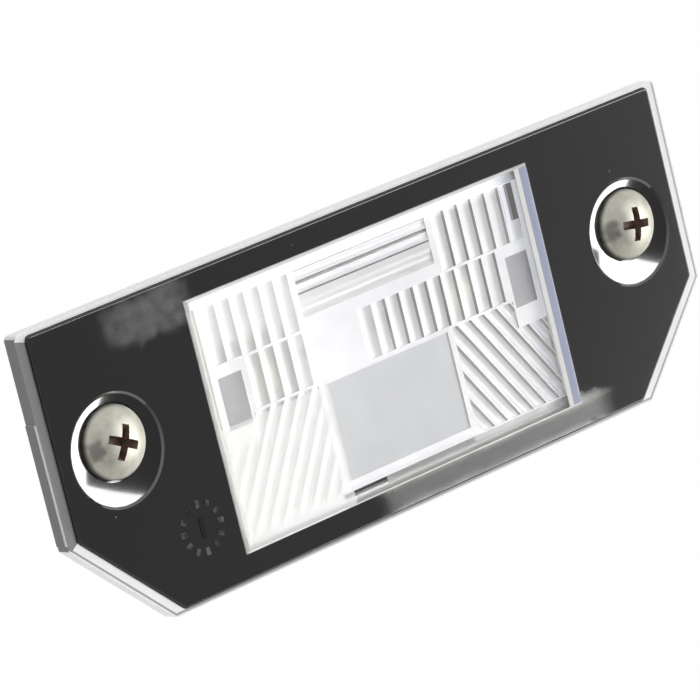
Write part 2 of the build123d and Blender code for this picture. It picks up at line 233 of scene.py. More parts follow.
def dress(node, slot, material, edge_round=0.0, smooth=SMOOTH_DEGREES):
    """A welded, smoothly shaded copy of a solid stands for it; edge_round softens its sharp edges."""
    made = welded(node)
    if edge_round:
        flat = math.radians(FLAT_DEGREES)
        bmesh.ops.dissolve_limit(made, angle_limit=flat, verts=made.verts, edges=made.edges)
        sharp = [edge for edge in made.edges if edge.calc_face_angle(0.0) > math.radians(SHARP_DEGREES)]
        bmesh.ops.bevel(
            made, geom=sharp, offset=edge_round, segments=2, profile=0.5, affect="EDGES", clamp_overlap=True
        )
        bmesh.ops.triangulate(made, faces=made.faces)
    mesh = bpy.data.meshes.new(node + "_skin")
    made.to_mesh(mesh)
    made.free()
    smooth_by_angle(mesh, smooth)
    piece = new_object(node + "_skin", mesh, material)
    flat_faces_lead(piece)
    stand_for(piece, slot, node)
    return piece


# Materials

POLYCARBONATE_IOR = 1.585
GLASS_IOR = 1.5
WHITE = (1, 1, 1, 1)
# Nearly all values of a noise lie in this span
NOISE_SPAN = {"From Min": 0.3, "From Max": 0.7}

# Wear of the black plate: each patch's middle and half size in millimetres, and where its edge starts to fade
SMALL_PATCH = ((-30.4, 14.2), (6.6, 3.0), -0.1)
LONG_PATCH = ((11.9, -15.0), (18.0, 2.5), 0.35)
LONG_PATCH_CORE = ((11.2, -15.3), (40.0, 1.1), -0.3)
PATCH_FADED = 1.3
# How far the patches' outline strays, and the width of each pattern on the plate, in millimetres
PATCH_STRAY = 2.4
STRAY_CELL = 2.5
POLISH_CELL = 1.6
STREAK_CELL = 4.0
DUST_CELL = 3.4
# Streaks are this many times as long as they are wide
STREAK_STRETCH = 5.0
# A speck's radius as a share of its cell, and the share of cells that hold one
DUST_RADIUS = 0.032
DUST_SHARE = 0.3
# Roughness of the plate where it is polished, and where it is rubbed
POLISHED = (0.03, 0.06)
RUBBED = 0.3


def wear_and_reflection_patch(tree, place, middle, half, fade_from):
    """A mask that is 1 inside a soft-edged oblong in the plane of the face and 0 outside it."""
    oblong = add(
        tree,
        "ShaderNodeMapping",
        {"Vector": place, "Location": middle, "Scale": (half[0] * MM, 1, half[1] * MM)},
        vector_type="TEXTURE",
    ).outputs[0]
    squared = add(tree, "ShaderNodeVectorMath", {0: oblong, 1: oblong}, operation="MULTIPLY").outputs[0]
    fourth = add(tree, "ShaderNodeVectorMath", {0: squared, 1: squared}, operation="MULTIPLY").outputs[0]
    reach = add(tree, "ShaderNodeVectorMath", {0: fourth, 1: (1, 0, 1)}, operation="DOT_PRODUCT")
    mask = add(
        tree,
        "ShaderNodeMapRange",
        {
            "Value": reach.outputs["Value"],
            "From Min": fade_from,
            "From Max": PATCH_FADED,
            "To Min": 1.0,
            "To Max": 0.0,
        },
        interpolation_type="SMOOTHSTEP",
    )
    return mask.outputs[0]


def black_plate():
    """Black polycarbonate from a polished tool: a dark mirror, rubbed dull in two places, with dust."""
    material, tree, shader, _ = new_material(
        "polished_black_polycarbonate",
        IOR=POLYCARBONATE_IOR,
        Coat_Weight=1.0,
        Coat_IOR=1.7,
        Coat_Roughness=0.1,
    )
    place = add(tree, "ShaderNodeTexCoord").outputs["Object"]
    wander = add(tree, "ShaderNodeTexNoise", {"Vector": place, "Scale": per(STRAY_CELL), "Detail": 2.0})
    shift = add(
        tree, "ShaderNodeVectorMath", {0: wander.outputs["Color"], 1: (0.5, 0.5, 0.5)}, operation="SUBTRACT"
    )
    strayed = add(
        tree,
        "ShaderNodeVectorMath",
        {0: shift.outputs[0], 1: (PATCH_STRAY * MM, 0, PATCH_STRAY * MM), 2: place},
        operation="MULTIPLY_ADD",
    ).outputs[0]
    small = wear_and_reflection_patch(tree, strayed, on_plate(*SMALL_PATCH[0]), *SMALL_PATCH[1:])
    long = wear_and_reflection_patch(tree, strayed, on_plate(*LONG_PATCH[0]), *LONG_PATCH[1:])
    core = wear_and_reflection_patch(tree, place, on_plate(*LONG_PATCH_CORE[0]), *LONG_PATCH_CORE[1:])
    polish = add(tree, "ShaderNodeTexNoise", {"Vector": place, "Scale": per(POLISH_CELL), "Detail": 4.0})
    lie = add(tree, "ShaderNodeMapping", {"Vector": place, "Scale": (1.0, 1.0, STREAK_STRETCH)})
    streaks = add(
        tree, "ShaderNodeTexNoise", {"Vector": lie.outputs[0], "Scale": per(STREAK_CELL), "Detail": 4.0}
    )
    rubbed = add(
        tree,
        "ShaderNodeMapRange",
        {"Value": streaks.outputs[0], "From Min": 0.3, "From Max": 0.75, "To Min": 0.35, "To Max": 1.0},
    )
    mottle = add(
        tree,
        "ShaderNodeMapRange",
        {"Value": polish.outputs[0], "From Min": 0.35, "From Max": 0.65, "To Min": 0.74, "To Max": 1.0},
    )
    small_rub = add(tree, "ShaderNodeMath", {0: small, 1: mottle.outputs[0]}, operation="MULTIPLY")
    long_rub = add(tree, "ShaderNodeMath", {0: long, 1: rubbed.outputs[0]}, operation="MULTIPLY")
    rubbed_tone = add(
        tree,
        "ShaderNodeMix",
        {"Factor": core, "A": linear("#94948d"), "B": linear("#1d1d1c")},
        data_type="RGBA",
    )
    ground = add(
        tree,
        "ShaderNodeMix",
        {"Factor": small_rub.outputs[0], "A": linear("#131315"), "B": linear("#232322")},
        data_type="RGBA",
    )
    worn = add(
        tree,
        "ShaderNodeMix",
        {
            "Factor": long_rub.outputs[0],
            "A": ground.outputs["Result"],
            "B": rubbed_tone.outputs["Result"],
        },
        data_type="RGBA",
    )
    cells = add(tree, "ShaderNodeTexVoronoi", {"Vector": place, "Scale": per(DUST_CELL)})
    near = add(tree, "ShaderNodeMath", {0: cells.outputs["Distance"], 1: DUST_RADIUS}, operation="LESS_THAN")
    pick = add(tree, "ShaderNodeSeparateColor", {"Color": cells.outputs["Color"]})
    few = add(tree, "ShaderNodeMath", {0: pick.outputs[0], 1: DUST_SHARE}, operation="LESS_THAN")
    speck = add(tree, "ShaderNodeMath", {0: near.outputs[0], 1: few.outputs[0]}, operation="MULTIPLY")
    dusty = add(
        tree,
        "ShaderNodeMix",
        {"Factor": speck.outputs[0], "A": worn.outputs["Result"], "B": linear("#72726e")},
        data_type="RGBA",
    )
    tree.links.new(dusty.outputs["Result"], shader.inputs["Base Color"])
    gloss = add(
        tree,
        "ShaderNodeMapRange",
        {"Value": polish.outputs[0], **NOISE_SPAN, "To Min": POLISHED[0], "To Max": POLISHED[1]},
    )
    dull = add(tree, "ShaderNodeMath", {0: small_rub.outputs[0], 1: long}, operation="MAXIMUM")
    rough = add(
        tree,
        "ShaderNodeMix",
        {"Factor": dull.outputs[0], "A": gloss.outputs[0], "B": RUBBED},
        data_type="FLOAT",
    )
    tree.links.new(rough.outputs[0], shader.inputs["Roughness"])
    return material


# Slow change of tone in the clear pieces: its width in millimetres, and how deep it goes
CLEAR_CELL = 4.0
CLEAR_DEEP = 0.94


def clear_plastic(name, colour, haze, roughness, ior=POLYCARBONATE_IOR):
    """A clear material; haze is the share of light that its surface scatters, and lamps light through it."""
    material, tree, shader, output = new_material(
        name,
        Roughness=roughness,
        IOR=ior,
        Transmission_Weight=1.0 - haze,
    )
    place = add(tree, "ShaderNodeTexCoord").outputs["Object"]
    wander = add(tree, "ShaderNodeTexNoise", {"Vector": place, "Scale": per(CLEAR_CELL), "Detail": 3.0})
    share = add(tree, "ShaderNodeMapRange", {"Value": wander.outputs[0], **NOISE_SPAN})
    light = linear(colour)
    deep = tuple(CLEAR_DEEP * part for part in light[:3]) + (1.0,)
    tone = add(
        tree, "ShaderNodeMix", {"Factor": share.outputs[0], "A": light, "B": deep}, data_type="RGBA"
    )
    tree.links.new(tone.outputs["Result"], shader.inputs["Base Color"])
    path = add(tree, "ShaderNodeLightPath")
    through = add(tree, "ShaderNodeBsdfTransparent", {"Color": light})
    mix = add(
        tree,
        "ShaderNodeMixShader",
        {0: path.outputs["Is Shadow Ray"], 1: shader.outputs[0], 2: through.outputs[0]},
    )
    tree.links.new(mix.outputs[0], output.inputs["Surface"])
    return material


# Painted dark reflection on each screw's head: its place from the dish's middle, its half size and its stray,
# in millimetres
REFLECTION_PLACE = (-2.6, 1.5)
REFLECTION_HALF = (0.9, 1.3)
REFLECTION_STRAY = 1.2
REFLECTION_FADE_FROM = -0.6
REFLECTION_SHARE = 0.9


def surface(name, colours, roughness, patch, grain=0.0, relief=0.0, painted_reflections=(), **sockets):
    """A solid finish: colour and roughness wander between two values over patches this wide in millimetres,
    grain and relief give the width and depth of fine pits, in millimetres too, and the places listed after
    relief get dark patches of painted reflection."""
    material, tree, shader, _ = new_material(name, **sockets)
    place = add(tree, "ShaderNodeTexCoord").outputs["Object"]
    wander = add(tree, "ShaderNodeTexNoise", {"Vector": place, "Scale": per(patch), "Detail": 4.0})
    share = add(tree, "ShaderNodeMapRange", {"Value": wander.outputs[0], **NOISE_SPAN})
    tone = add(
        tree,
        "ShaderNodeMix",
        {"Factor": share.outputs[0], "A": linear(colours[0]), "B": linear(colours[1])},
        data_type="RGBA",
    )
    rough = add(
        tree,
        "ShaderNodeMapRange",
        {"Value": share.outputs[0], "To Min": roughness[0], "To Max": roughness[1]},
    )
    shade = tone.outputs["Result"]
    # Each listed place gets a dark patch of painted reflection
    for reflection_place in painted_reflections:
        strayed = add(
            tree,
            "ShaderNodeVectorMath",
            {0: wander.outputs["Color"], 1: (REFLECTION_STRAY * MM, 0, REFLECTION_STRAY * MM), 2: place},
            operation="MULTIPLY_ADD",
        )
        mask = wear_and_reflection_patch(tree, strayed.outputs[0], reflection_place, REFLECTION_HALF, REFLECTION_FADE_FROM)
        part = add(tree, "ShaderNodeMath", {0: mask, 1: REFLECTION_SHARE}, operation="MULTIPLY")
        # Painted reflection: a dark mauve grey over the metal
        reflected = add(
            tree,
            "ShaderNodeMix",
            {"Factor": part.outputs[0], "A": shade, "B": linear("#6d6364")},
            data_type="RGBA",
        )
        shade = reflected.outputs["Result"]
    tree.links.new(shade, shader.inputs["Base Color"])
    tree.links.new(rough.outputs[0], shader.inputs["Roughness"])
    if relief:
        pits = add(tree, "ShaderNodeTexNoise", {"Vector": place, "Scale": per(grain), "Detail": 2.0})
        bump = add(
            tree, "ShaderNodeBump", {"Height": pits.outputs[0], "Strength": 1.0, "Distance": relief * MM}
        )
        tree.links.new(bump.outputs[0], shader.inputs["Normal"])
    return material


gloss_black = black_plate()
# Moulded marks in the same black, left matt by the engraved tool, so they show as a faint grey
matt_black = surface("matt_black_polycarbonate", ("#060606", "#262626"), (0.16, 0.36), 1.6)
# Painted shade: a near-black bar that stands for the slot of a marked dial, as light hardly comes back out of
# a slot
slot_shade_black = surface("black_pit", ("#050505", "#0b0b0b"), (0.5, 0.6), 0.5, Specular_IOR_Level=0.1)
# The plate's rounded edge, where the polish of the tool stops
edge_black = surface("satin_black_polycarbonate", ("#161618", "#222224"), (0.4, 0.5), 1.5)
# Polished clear moulding: colourless, and what lies behind it shows
clear = clear_plastic("clear_polycarbonate", "#fbfbff", 0.0, 0.02)
# Flutes from an etched tool: near white, and they spread the light
fluted = clear_plastic("etched_polycarbonate", "#fdfdfb", 0.66, 0.12)
# Wide bar from a finely etched tool: white with a soft gloss
barred = clear_plastic("finely_etched_polycarbonate", "#f8f8f6", 0.68, 0.1)
# Flat ground between the flutes: the brightest white of the window
plain = clear_plastic("plain_etched_polycarbonate", "#fdfdfc", 0.8, 0.2)
# Flanks of the flutes that turn away from the light: light grey lines
shaded = clear_plastic("shaded_polycarbonate", "#c0c0bb", 0.62, 0.12)
# Blasted flat square: an even satin grey
frosted = clear_plastic("frosted_polycarbonate", "#c9cac8", 0.85, 0.4)
# Blasted flats in front of the contacts: a darker satin grey, which stands for the grey contacts behind them
# in painted shade
grey_pad = clear_plastic("grey_frosted_polycarbonate", "#a4a4a2", 0.85, 0.35)
# Back of the lens over the reflector's slot: a thin pale veil
veiled = clear_plastic("veiled_polycarbonate", "#dcdcda", 0.4, 0.2)
# Front of the rim, full of light from its edges: white and glossy
hazed_rim = clear_plastic("moulded_polycarbonate", "#fbfbfd", 0.85, 0.1)
# Step along the rim: a thin grey line
rim_line = clear_plastic("polycarbonate_rim_line", "#a2a2a4", 0.85, 0.2)
# Sides of the rim, drawn out of the tool: white and half matt
hazed_side = clear_plastic("drawn_polycarbonate_side", "#fbfbff", 0.85, 0.3)
# Rim at the left end, which turns from the light: a glossy mid grey of painted shade
grey_rim = clear_plastic("grey_polycarbonate_rim", "#7e7e7e", 0.9, 0.2)
# Side wall at the left end: a half matt mid grey of painted shade
grey_side = clear_plastic("grey_polycarbonate_side", "#757575", 0.9, 0.3)
# Rounded edge of the window: white with a bright gloss
pale_edge = clear_plastic("polycarbonate_edge", "#fbfbf8", 0.75, 0.1)
# Border at the window's right end, thick to look through: a cool blue grey
blue_strip = clear_plastic("blue_grey_polycarbonate_border", "#abb0ca", 0.8, 0.15)
# Painted shade between the narrow bars and on the last flute: dark grey lines
dark_bar = clear_plastic("dark_polycarbonate_bar", "#7c7c78", 0.7, 0.12)
# Lower left corner of the window: milky, so the flutes behind it look soft
milky = clear_plastic("milky_polycarbonate", "#ffffff", 0.5, 0.15)
# Back of the lens along the plate's opening: a warm white frame
white_border = clear_plastic("white_polycarbonate_border", "#f6f6f0", 0.75, 0.2)
# Blown glass: colourless, with sharp reflections
glass = clear_plastic("blown_glass", "#fbfcfb", 0.0, 0.0, GLASS_IOR)
# Clear-passivated zinc: a warm pale grey metal, a little cloudy, with a dark patch of painted reflection on
# each head
zinc = surface(
    "zinc_plated_steel", ("#b9b8aa", "#cfcdc2"), (0.5, 0.6), 1.2, 0.3, 0.004,
    painted_reflections=[Vector((x + REFLECTION_PLACE[0], 0, z + REFLECTION_PLACE[1])) * MM for x, z in DISH_PLACES], Metallic=1.0,
)
# Inside the recess the plating is thin and dirty: dark brown
recess = surface("tarnished_steel", ("#5a4a42", "#957a6c"), (0.45, 0.6), 0.5, Metallic=0.2)
# Hot-dipped tin: soft white metal with broad dull patches
tin = surface("tinned_brass", ("#b9b9b4", "#cbcbc6"), (0.28, 0.4), 2.0, Metallic=1.0)
# Drawn and plated caps: bright, slightly warm
nickel = surface("nickel_plated_brass", ("#928b72", "#a8a188"), (0.26, 0.36), 1.5, Metallic=1.0)
# Drawn tungsten: dark grey metal
tungsten = surface("tungsten_wire", ("#5f5f62", "#747477"), (0.35, 0.45), 0.4, Metallic=1.0)
# Support wire: greyish, slightly oxidised
wire = surface("nickel_iron_wire", ("#938d84", "#aca69c"), (0.3, 0.4), 0.6, Metallic=1.0)
# Moulded white PBT: bright, half matt, hardly varied
white_plastic = surface("white_pbt", ("#f4f4f0", "#fafaf8"), (0.42, 0.5), 3.0)
# Spark-eroded tool on polypropylene: matt black with a fine even grain
black_plastic = surface("black_polypropylene", ("#1a1a1b", "#1e1e1f"), (0.5, 0.55), 6.0, 0.25, 0.02)
# Moulded rubber: deep matt black
rubber = surface("seal_rubber", ("#141414", "#1b1b1b"), (0.65, 0.75), 1.5)
# Cut foam: very matt, pitted by its cells, which are drawn coarser than real so that they show
foam = surface("closed_cell_foam", ("#1a1a1a", "#2a2a2a"), (0.9, 1.0), 0.8, 0.45, 0.12)

# Lens: the finish of each zone of its faces, and the zones in the same order
LENS_FINISHES = (
    clear, plain, fluted, shaded, barred, frosted, grey_pad, veiled, hazed_rim, rim_line, hazed_side,
    grey_rim, grey_side, pale_edge, blue_strip, white_border, milky, dark_bar, gloss_black,
)
(
    CLEAR, PLAIN, FLUTED, SHADED, BARRED, SQUARE, CONTACT, VEILED, RIM, RIM_LINE, SIDE,
    GREY_RIM, GREY_SIDE, EDGE, STRIP, BORDER, MILKY, DARK_BAR, BONDED,
) = range(len(LENS_FINISHES))
AIR = 0.02 * MM
NEAR = 0.03


def back_zone(along, up):
    """The finish of the lens's back round the fluted field: scattering along the plate's opening."""
    if abs(along) > BORDER_HALF[0] or abs(up) > BORDER_HALF[1]:
        return CLEAR
    if abs(along) > FIELD_HALF[0] or abs(up) > LONG_BORDER_START:
        return BORDER
    return VEILED if up < 0 and along > SLOT_VEIL_START else CLEAR


def optic_zone(face, along, up, deep):
    """The finish of the flutes, bars and pads on the window's back."""
    flat = face.normal.y > FLAT
    if flat and abs(deep - FIELD_BACK - PAD_PROUD) < NEAR:
        # Square in the middle; at the ends, pads whose darker grey is painted shade for the contacts behind
        return SQUARE if abs(along) < SQUARE_HALF_WIDTH else CONTACT
    if abs(along) < BARS_HALF_WIDTH and BARS_ENDS[0] < up < BARS_ENDS[1]:
        # Dark lines between the bars and a grey line along their top: painted shade
        if any(low < up < high for low, high in BAR_LINES):
            return DARK_BAR
        if up > BARS_EDGE_LINE:
            return SHADED
        return PLAIN if up > BAR_LINES[0][1] else BARRED
    if flat and abs(deep - FIELD_BACK) < NEAR:
        return PLAIN
    if along < 0:
        return FLUTED
    # Last flute: white below, painted shade above, darkest on its flanks
    if along > LAST_FLUTE[0] and up > FIRST_ROW_LOW:
        if up < LAST_FLUTE[1] or along < LAST_FLUTE_DARK:
            return PLAIN
        return DARK_BAR if abs(face.normal.x) > LEANING else SHADED
    return SHADED if face.normal.x > 0 and face.normal.y < STEEP else FLUTED


def rim_reaches(along, up):
    """How far a place lies outside each side of the rim: left, right, top, bottom and the two cut corners."""
    return (
        -along - RIM_HALF[0],
        along - RIM_HALF[0],
        up - RIM_HALF[1],
        -up - RIM_HALF[1],
        (-along - up) * DIAGONAL - RIM_CUT,
        (along - up) * DIAGONAL - RIM_CUT,
    )


# Places of the left end and the top among these reaches
LEFT_SIDE = 0
TOP_SIDE = 2


def rim_zone(face, along, up, deep):
    """The finish of the clear rim: grey at the left end, elsewhere white with a grey line along its edge."""
    if abs(face.normal.y) > LEANING:
        reaches = rim_reaches(along, up)
        nearest = reaches.index(max(reaches))
        # The left end, which turns from the light, is painted shade
        if nearest == LEFT_SIDE:
            return GREY_RIM
        on_line = nearest != TOP_SIDE and RIM_LINE_BAND[0] < max(reaches) < RIM_LINE_BAND[1]
        return RIM_LINE if on_line else RIM
    ridge = deep < LUG_DEEP and LUG_ENDS[0] < up < LUG_ENDS[1]
    # Left side wall, all but the lug's ridge: painted shade
    return GREY_SIDE if face.normal.x < -SIDEWAYS and not ridge else SIDE


def lens_zone(face):
    """The finish of one face of the lens, told from where it lies and which way it looks."""
    middle = face.calc_center_median()
    along = middle.x / MM
    up = (middle.z - MIDDLE_Z) / MM
    deep = (middle.y - FACE_Y) / MM
    outward = face.normal.x * middle.x + face.normal.z * (middle.z - MIDDLE_Z)
    upright = abs(face.normal.y) < LEANING
    if deep > (LENS_BACK_Y - FACE_Y) / MM - NEAR:
        return back_zone(along, up)
    if abs(along) < FIELD_HALF[0] + NEAR and abs(up) < FIELD_HALF[1] + NEAR and deep > 0:
        return optic_zone(face, along, up, deep)
    if abs(along) < WINDOW_HALF[0] + NEAR and abs(up) < WINDOW_HALF[1] + NEAR:
        if face.normal.y > -FLAT:
            return EDGE
        if along > STRIP_START:
            return STRIP
        if along < MILKY_END[0] and up < MILKY_END[1]:
            return MILKY
        return EDGE if along > PALE_STRIP_START else CLEAR
    if upright and outward < 0 or abs(deep - BEZEL_THICK) < NEAR:
        return BONDED
    return rim_zone(face, along, up, deep)


def cut_faces(made, faces, place, across):
    """Cuts these faces along a plane."""
    edges = {edge for face in faces for edge in face.edges}
    verts = {vert for face in faces for vert in face.verts}
    bmesh.ops.bisect_plane(made, geom=faces + list(edges) + list(verts), plane_co=place, plane_no=across)


def cut_zones(made):
    """Cuts the lens's flat faces where their finish changes."""
    def faces_at(deep):
        return [face for face in made.faces if abs(face.calc_center_median().y - FACE_Y - deep) < WELD]

    def bars_and_last_flute():
        found = []
        for face in made.faces:
            middle = (face.calc_center_median() - on_plate(0, 0)) / MM
            raised = FIELD_BACK + NEAR < middle.y < FIELD_BACK + RAISED_LIMIT
            in_bars = abs(middle.x) < BARS_HALF_WIDTH + NEAR and middle.z > BARS_ENDS[0] - NEAR
            if raised and (in_bars or middle.x > LAST_FLUTE[0] and middle.z > FIRST_ROW_LOW):
                found.append(face)
        return found

    def left_end():
        return [
            face
            for face in made.faces
            if face.normal.x < -SIDEWAYS and face.calc_center_median().x < LEFT_END * MM
        ]

    back = LENS_BACK_Y - FACE_Y
    for side in (-1, 1):
        for reach in (FIELD_HALF[0], BORDER_HALF[0]):
            cut_faces(made, faces_at(back), on_plate(side * reach, 0), (1, 0, 0))
        for reach in (LONG_BORDER_START, BORDER_HALF[1]):
            cut_faces(made, faces_at(back), on_plate(0, side * reach), (0, 0, 1))
    cut_faces(made, faces_at(back), on_plate(SLOT_VEIL_START, 0), (1, 0, 0))
    for side in (-1, 1):
        cut_faces(made, faces_at(FIELD_BACK * MM), on_plate(side * BARS_HALF_WIDTH, 0), (1, 0, 0))
    for level in (*BARS_ENDS, *BAR_LINES[0], *BAR_LINES[1], BARS_EDGE_LINE, LAST_FLUTE[1]):
        cut_faces(made, faces_at(FIELD_BACK * MM) + bars_and_last_flute(), on_plate(0, level), (0, 0, 1))
    front = lens_low.y - FACE_Y
    for reach in (MILKY_END[0], PALE_STRIP_START, STRIP_START):
        cut_faces(made, faces_at(front), on_plate(reach, 0), (1, 0, 0))
    cut_faces(made, faces_at(front), on_plate(0, MILKY_END[1]), (0, 0, 1))
    sides = (
        (1, 0, RIM_HALF[0]),
        (0, -1, RIM_HALF[1]),
        (-DIAGONAL, -DIAGONAL, RIM_CUT),
        (DIAGONAL, -DIAGONAL, RIM_CUT),
    )
    for band in RIM_LINE_BAND:
        for x, z, reach in sides:
            place = on_plate(x * (reach + band), z * (reach + band))
            cut_faces(made, faces_at(RIM_DEEP * MM), place, (x, 0, z))
    cut_faces(made, left_end(), on_plate(0, 0, -LUG_DEEP), (0, 1, 0))
    for end in LUG_ENDS:
        cut_faces(made, left_end(), on_plate(0, end), (0, 0, 1))


def make_lens():
    """The lens, with a hair of air behind it, and black where the plate is moulded onto it."""
    made = welded("lens")
    cut_zones(made)
    made.normal_update()
    for face in made.faces:
        face.material_index = lens_zone(face)
    for vert in made.verts:
        if abs(vert.co.y - LENS_BACK_Y) < WELD:
            vert.co.y -= AIR
    mesh = bpy.data.meshes.new("lens_skin")
    made.to_mesh(mesh)
    made.free()
    smooth_by_angle(mesh, SMOOTH_DEGREES)
    piece = new_object("lens_skin", mesh, *LENS_FINISHES)
    flat_faces_lead(piece)
    stand_for(piece, "lens_clear", "lens")


# Windings: the screws' threads and the bulb's coil


def new_node_tree(name, **inputs):
    """A Geometry Nodes tree with these inputs, named with _ for a space, and its input sockets."""
    tree = bpy.data.node_groups.new(name, "GeometryNodeTree")
    tree.interface.new_socket("Geometry", in_out="OUTPUT", socket_type="NodeSocketGeometry")
    for socket, kind in inputs.items():
        tree.interface.new_socket(socket.replace("_", " "), in_out="INPUT", socket_type="NodeSocket" + kind)
    return tree, add(tree, "NodeGroupInput").outputs


def close_tree(tree, geometry, material):
    """Ends a tree with real geometry in one material."""
    real = add(tree, "GeometryNodeRealizeInstances", {"Geometry": geometry})
    done = add(tree, "GeometryNodeSetMaterial", {"Geometry": real.outputs[0], "Material": material})
    add(tree, "NodeGroupOutput", {"Geometry": done.outputs[0]})


STEPS_PER_TURN = 40


def winding_tree():
    """A wire of any section wound round Z."""
    tree, given = new_node_tree(
        "winding", Turns="Float", Radius="Float", End_Radius="Float", Length="Float", Wire="Float",
        Sides="Int", Finish="Material",
    )
    path = add(
        tree,
        "GeometryNodeCurveSpiral",
        {
            "Resolution": STEPS_PER_TURN,
            "Rotations": given["Turns"],
            "Start Radius": given["Radius"],
            "End Radius": given["End Radius"],
            "Height": given["Length"],
        },
    )
    level = add(tree, "GeometryNodeSetCurveNormal", {"Curve": path.outputs[0]}, mode="Z_UP")
    section = add(
        tree, "GeometryNodeCurvePrimitiveCircle", {"Resolution": given["Sides"], "Radius": given["Wire"]}
    )
    body = add(
        tree,
        "GeometryNodeCurveToMesh",
        {"Curve": level.outputs[0], "Profile Curve": section.outputs[0], "Fill Caps": True},
    )
    close_tree(tree, body.outputs[0], given["Finish"])
    return tree


def grown(tree, name, **inputs):
    """The mesh that a tree gives for these inputs."""
    holder = new_object(name, bpy.data.meshes.new(name))
    modifier = holder.modifiers.new(name, "NODES")
    modifier.node_group = tree
    for item in tree.interface.items_tree:
        if item.in_out == "INPUT":
            modifier[item.identifier] = inputs[item.name.replace(" ", "_")]
    mesh = final_mesh(holder, name)
    bpy.data.objects.remove(holder)
    return mesh


winding = winding_tree()

# Screws, in millimetres
HEAD_RADIUS = 4.0
HEAD_HEIGHT = 3.1
HEAD_SIDE = 1.1
HEAD_CHAMFER = 0.1
SHOULDER_RADIUS = 0.9
NECK_RADIUS = 1.7
CORE_RADIUS = 1.5
CREST_RADIUS = 2.1
THREAD_PITCH = 1.4
THREAD_TURNS = 3
TIP_LENGTH = 1.6
TIP_RADIUS = 0.6
RECESS_LENGTH = 4.4
RECESS_WIDTH = 0.95
RECESS_DEPTH = 1.9
RECESS_ABOVE = 0.3
# A recess's length and width at its floor and above the head, as shares of its length and width
RECESS_FLOOR = (0.42, 0.72)
RECESS_MOUTH = (1.06, 1.06)
RECESS_TURN = {"left": -27.0, "right": -9.5}
THREAD_SIDES = 4
LATHE_STEPS = 72
DOME_STEPS = 12
SHOULDER_STEPS = 10


def thread_start(length):
    """The depth at which the thread of a screw this long starts."""
    return length - TIP_LENGTH - THREAD_TURNS * THREAD_PITCH


def screw_profile(length):
    """Half the outline of a screw, as radius and depth below the top of its head."""
    rise = HEAD_HEIGHT - HEAD_SIDE
    tilt = 2 * math.atan((rise - SHOULDER_RADIUS) / (HEAD_RADIUS - SHOULDER_RADIUS))
    dome = SHOULDER_RADIUS + (HEAD_RADIUS - SHOULDER_RADIUS) / math.sin(tilt)
    points = []
    for step in range(DOME_STEPS + 1):
        angle = tilt * step / DOME_STEPS
        points.append((dome * math.sin(angle), dome * (1 - math.cos(angle))))
    for step in range(1, SHOULDER_STEPS + 1):
        angle = tilt + (math.pi / 2 - tilt) * step / SHOULDER_STEPS
        radius = HEAD_RADIUS - SHOULDER_RADIUS * (1 - math.sin(angle))
        points.append((radius, rise - SHOULDER_RADIUS * math.cos(angle)))
    points += [
        (HEAD_RADIUS, HEAD_HEIGHT - HEAD_CHAMFER),
        (HEAD_RADIUS - HEAD_CHAMFER, HEAD_HEIGHT),
        (NECK_RADIUS, HEAD_HEIGHT),
        (NECK_RADIUS, thread_start(length)),
        (CORE_RADIUS, thread_start(length)),
        (CORE_RADIUS, length - TIP_LENGTH),
        (TIP_RADIUS, length),
        (0, length),
    ]
    return points


def lathe(points, name):
    """A closed solid of revolution round Y."""
    made = bmesh.new()
    row = [made.verts.new((radius * MM, depth * MM, 0)) for radius, depth in points]
    edges = [made.edges.new(pair) for pair in zip(row, row[1:])]
    bmesh.ops.spin(
        made, geom=row + edges, axis=(0, 1, 0), cent=(0, 0, 0), angle=math.tau, steps=LATHE_STEPS
    )
    bmesh.ops.remove_doubles(made, verts=made.verts, dist=WELD)
    bmesh.ops.recalc_face_normals(made, faces=made.faces)
    mesh = bpy.data.meshes.new(name)
    made.to_mesh(mesh)
    made.free()
    return mesh


def recess_wing(turn):
    """A tapered slab that cuts one bar of the cross into a screw's head."""
    made = bmesh.new()
    bmesh.ops.create_cube(made, size=1.0)
    for vert in made.verts:
        deep = vert.co.y > 0
        shares = RECESS_FLOOR if deep else RECESS_MOUTH
        length = RECESS_LENGTH * shares[0]
        width = RECESS_WIDTH * shares[1]
        depth = RECESS_DEPTH if deep else -RECESS_ABOVE
        vert.co = Vector((vert.co.x * length, depth, vert.co.z * width)) * MM
    made.transform(Matrix.Rotation(math.radians(-turn), 4, "Y"))
    mesh = bpy.data.meshes.new("recess_wing")
    made.to_mesh(mesh)
    made.free()
    return new_object("recess_wing", mesh, recess)


